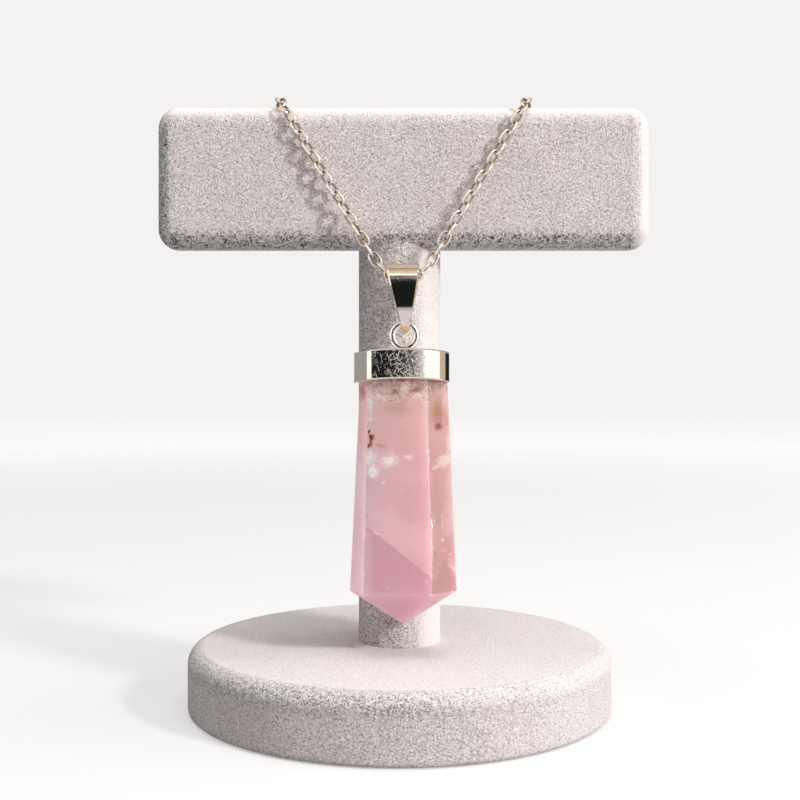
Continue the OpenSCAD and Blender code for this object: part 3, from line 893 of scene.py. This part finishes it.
SPOT = ((-7, 10.4, 0.34, 0.6, 1, 0, 0.6), (-6.65, 11.6, 0.4, 1, 1, 16, 0.6), (-7.05, 13.2, 0.3, 0.65, 1, 0, 0.6),
        (-6.75, 12.3, 0.28, 0.6, 0.9, 0, 0.8), (7.65, 8.5, 0.2, 0.26, 0.9, 0, 0.8),
        (7.3, 9.7, 0.16, 0.4, 0.9, 25, 0.8), (6.6, 9.8, 0.15, 0.25, 0.9, 0, 0.8), (3.8, 5.4, 0.17, 0.15, 0.8, 0, 0.8),
        (-7.9, 4.9, 0.13, 0.17, 0.7, 0, 0.8), (7, 9.2, 0.42, 0.5, 0.8), (-8.8, 15.8, 0.3, 0.1, 0.6, -30, 0.8),
        (-6.5, 16.2, 0.1, 0.18, 0.6, 0, 0.8), (-7.3, 27.2, 0.16, 0.17, 0.9, 0, 0.6),
        (-7.3, 27.8, 0.1, 0.1, 0.6, 0, 0.8), (-9.25, 28.5, 0.16, 0.12, 0.7, 0, 0.8),
        (6.3, 34.75, 0.5, 0.08, 0.9, -52, 0.7), (3, 38.1, 0.13, 0.17, 0.8, 0, 0.8),
        (4.8, 39.3, 1, 0.07, 0.8, -33, 0.8), (-4.2, 42.2, 1.2, 0.09, 0.4))


def mark_group():
    """One mark in the stone: a soft oval patch, or everything below a slanted line."""
    tree, take, give = new_group(
        "mark",
        [("Place", "Vector", None), ("Middle", "Vector", None), ("Slant", "Float", 0.0),
         ("Half Size", "Vector", (1, 1, 1)), ("Softness", "Float", 0.8), ("Strength", "Float", 1.0)],
        [("Patch", "Float"), ("Below", "Float")])
    turned = turned_round(tree, vector_maths(tree, "SUBTRACT", take["Place"], take["Middle"]), take["Slant"])
    flat = vector_maths(tree, "MULTIPLY", vector_maths(tree, "DIVIDE", turned, take["Half Size"]), (1, 0, 1))
    reach = put(tree, "ShaderNodeVectorMath", {0: flat}, operation="LENGTH").outputs["Value"]
    inside = maths(tree, "SUBTRACT", 1.0, take["Softness"])
    tree.links.new(fade(tree, reach, 1.0, inside, 0.0, take["Strength"]), give["Patch"])
    under = times(tree, take["Softness"], -1.0)
    tree.links.new(fade(tree, axes_of(tree, turned)[2], 0.0, under, 0.0, take["Strength"]), give["Below"])
    return tree


def put_mark(tree, group, place, across, down, half_length, half_width, strength=1, slant=0, softness=1):
    """Places one mark."""
    return place_group(tree, group, {
        "Place": place, "Middle": (across, 0, STONE_TOP - down), "Slant": math.radians(slant),
        "Half Size": (half_length, 1, half_width), "Softness": softness, "Strength": strength})


def put_marks(tree, group, place, marks):
    """Patches of several marks as one mask."""
    return strongest(tree, [put_mark(tree, group, place, *mark)["Patch"] for mark in marks])


def stone_places(tree, place):
    """The place in millimetres, then led a little astray for crisp marks and further for cloudy ones."""
    plain = put(tree, "ShaderNodeVectorMath", {0: place, "Scale": 1 / MM}, operation="SCALE").outputs[0]
    wander = put(tree, "ShaderNodeTexNoise", {"Vector": place, "Scale": 900.0, "Detail": 3.0}).outputs[1]
    drift = vector_maths(tree, "SUBTRACT", wander, (0.5, 0.5, 0.5))
    near, far = (vector_maths(tree, "MULTIPLY_ADD", drift, (reach, reach, reach), plain) for reach in (0.6, 1.5))
    return plain, near, far


def mauve_depth(tree, group, near, far, up):
    """Mask of the mauve lower part, below three slanted lines; it weakens at the very foot and to the left."""
    lines = ((-5.2, 30.9, 1, 1, 1, -39, 0.25), (6, 41, 1, 1, 1, 64, 0.3), (8.2, 36.2, 1, 1, 1, -59, 0.3))
    slope, rise, fall = (put_mark(tree, group, near, *line)["Below"] for line in lines)
    depth = maths(tree, "MAXIMUM", slope, maths(tree, "MINIMUM", rise, fall))
    depth = times(tree, depth, fade(tree, up, 22.0, 30.0, 0.25))
    return times(tree, depth, fade(tree, axes_of(tree, far)[0], -8.2, -5.6, 0.25))


def stone_material():
    """Rose-pink quartz, pale and cloudy, with clouds, white veils, rust in its cracks and a mauve depth near its point;
    painted light and a painted glow on its left side, painted shade on its right.
    """
    material, tree, shader, place = new_material(
        "rose_stone", {"Roughness": 0.3, "IOR": 1.54, "Subsurface Weight": 1.0, "Subsurface Scale": 0.015,
                       "Subsurface Radius": (1.0, 0.6, 0.6), "Coat Weight": 0.1, "Coat Roughness": 0.2,
                       "Emission Strength": 1.0})
    group = mark_group()
    side, edge, under = (drawn(tree, name) for name in ("side", "edge", "under"))
    front = fade(tree, axes_of(tree, place)[1], -12.5 * MM, -14.5 * MM)
    plain, near, far = stone_places(tree, place)
    up = axes_of(tree, plain)[2]

    # Ground: two pinks, browner above, mauve below, painted light making the left facet paler, and deeper under the
    # point
    cloud = grain(tree, place, 110.0, 2.0, 0.5, 0.4)
    tint = blend_colour(tree, fade(tree, cloud, 0.35, 0.65), (0.71, 0.455, 0.485, 1), (0.765, 0.515, 0.545, 1))
    tint = blend_colour(tree, fade(tree, up, 50.0, 66.0, 0.0, 0.6), tint, (0.72, 0.49, 0.475, 1))
    mauve = blend_colour(tree, fade(tree, side, 0.02, 0.2), (0.62, 0.345, 0.405, 1), (0.65, 0.39, 0.425, 1))
    tint = blend_colour(tree, times(tree, mauve_depth(tree, group, near, far, up), 0.9), tint, mauve)
    # Painted light: the left facet, in shade from the key light, is made paler.
    painted_left_light = blend_colour(tree, fade(tree, up, 46.0, 62.0), (1.0, 0.75, 0.82, 1), (0.93, 0.66, 0.66, 1))
    tint = blend_colour(tree, fade(tree, side, -0.35, -0.6, 0.0, 0.85), tint, painted_left_light)
    tint = blend_colour(tree, fade(tree, under, 0.1, 0.5, 0.0, 0.6), tint, (0.78, 0.46, 0.53, 1))

    # Marks seen from the front: tan and brown clouds, white veils with fine veins, and rust
    honey, haze, veil, rust = (put_marks(tree, group, spots, marks)
                               for spots, marks in ((near, HONEY), (far, HAZE), (far, VEIL), (near, RUST)))
    flecks = grain(tree, place, 1500.0, 3.0, 0.6)
    broken = fade(tree, flecks, 0.38, 0.58, 0.45)
    vein = maths(tree, "ABSOLUTE", maths(tree, "SUBTRACT", grain(tree, place, 420.0, 3.0, 0.6, 1.6), 0.5))
    netted = times(tree, fade(tree, vein, 0.03, 0.0),
                   maths(tree, "MAXIMUM", times(tree, fade(tree, up, 63.5, 66.5), 0.6), veil))
    patchy = fade(tree, grain(tree, place, 600.0, 3.0, 0.6, 0.8), 0.42, 0.62)
    mottled = times(tree, fade(tree, up, 63.0, 69.5), patchy)
    layers = [(times(tree, mask, share), colour) for mask, share, colour in (
        (honey, 0.95, (0.52, 0.27, 0.14, 1)), (mottled, 0.85, (0.50, 0.27, 0.18, 1)),
        (haze, broken, (0.30, 0.18, 0.13, 1)), (veil, broken, (0.93, 0.80, 0.79, 1)),
        (netted, 0.9, (1.0, 0.90, 0.88, 1)))]
    for mask, colour in (*layers, (rust, (0.38, 0.095, 0.03, 1))):
        tint = blend_colour(tree, times(tree, mask, front), tint, colour)

    # Worn edges, painted shade darkening the right side, then the beads of light and dark specks on top
    bared = times(tree, fade(tree, under, 0.1, 0.3, 1.0, 0.1), fade(tree, side, -0.5, -0.2, 0.25))
    worn = times(tree, fade(tree, grain(tree, place, 700.0), 0.5, 0.68, 0.0, 0.5), bared)
    tint = blend_colour(tree, times(tree, edge, worn), tint, (0.95, 0.76, 0.74, 1))
    # Painted shade: the right side, lit by the key light, is darkened.
    right = times(tree, fade(tree, side, 0.06, 0.4), fade(tree, under, 0.1, 0.4, 1.0, 0.25))
    tint = blend_colour(tree, right, tint, blend_colour(tree, 1.0, tint, (0.64, 0.56, 0.54, 1), "MULTIPLY"))
    beads = times(tree, put_marks(tree, group, near, STREAK), fade(tree, flecks, 0.38, 0.5, 0.45))
    for mask, colour in ((beads, (1.0, 0.87, 0.85, 1)), (put_marks(tree, group, near, SPOT), (0.15, 0.018, 0.005, 1))):
        tint = blend_colour(tree, times(tree, mask, front), tint, colour)
    tree.links.new(tint, shader.inputs["Base Color"])

    # Painted glow on the left facet, standing in for light that comes through the thin left side
    glow = blend_colour(tree, fade(tree, side, -0.35, -0.6), (0, 0, 0, 1), (0.20, 0.105, 0.125, 1))
    tree.links.new(blend_colour(tree, 1.0, glow, tint, "MULTIPLY"), shader.inputs["Emission Color"])
    height = maths(tree, "ADD", grain(tree, place, 250.0), times(tree, netted, 0.15))
    relief(tree, shader, height, 0.15 * MM, 0.25)
    return material


def stone_body():
    """The cut crystal: a copy of its CAD shape, merged, bevelled with chipped edges and finely divided."""
    bevel, longest, flat_within = 0.2 * MM, 0.7 * MM, math.radians(1.2)
    chips_in_a_metre, chipped_above, deepest_chip = 900, 0.15, 0.35 * MM
    copy = add_object("rose_crystal", NODES["stone"].data.copy())
    work = bmesh.new()
    work.from_mesh(copy.data)
    bmesh.ops.remove_doubles(work, verts=work.verts, dist=1e-6)
    bmesh.ops.dissolve_limit(work, angle_limit=flat_within, verts=work.verts, edges=work.edges)
    worn, facing, lower = (work.faces.layers.float.new(name) for name in ("edge", "side", "under"))
    edges = bmesh.ops.bevel(work, geom=work.edges[:], offset=bevel, segments=2, profile=0.6, affect="EDGES")
    for face in edges["faces"]:
        face[worn] = 1.0
    bmesh.ops.recalc_face_normals(work, faces=work.faces)
    for face in work.faces:
        face.normal_update()
        face[facing] = face.normal.x
        face[lower] = max(0.0, -face.normal.z)
    bmesh.ops.triangulate(work, faces=work.faces)
    for _ in range(7):
        long = [e for e in work.edges if e.calc_length() > longest]
        if not long:
            break
        bmesh.ops.subdivide_edges(work, edges=long, cuts=1)
        bmesh.ops.triangulate(work, faces=[f for f in work.faces if len(f.verts) > 3])
    for vert in work.verts:
        if all(face[worn] for face in vert.link_faces):
            chip = max(0.0, noise.noise(vert.co * chips_in_a_metre) - chipped_above)
            vert.co -= vert.normal * chip * deepest_chip
    bmesh.ops.recalc_face_normals(work, faces=work.faces)
    work.to_mesh(copy.data)
    work.free()
    smooth_by_angle(copy, 14)
    return copy


def dress_stone():
    dress(stone_body(), stone_material(), "pendant", "stone", "stone")


set_camera()
set_studio()
dress_stand()
dress_metal()
dress_stone()
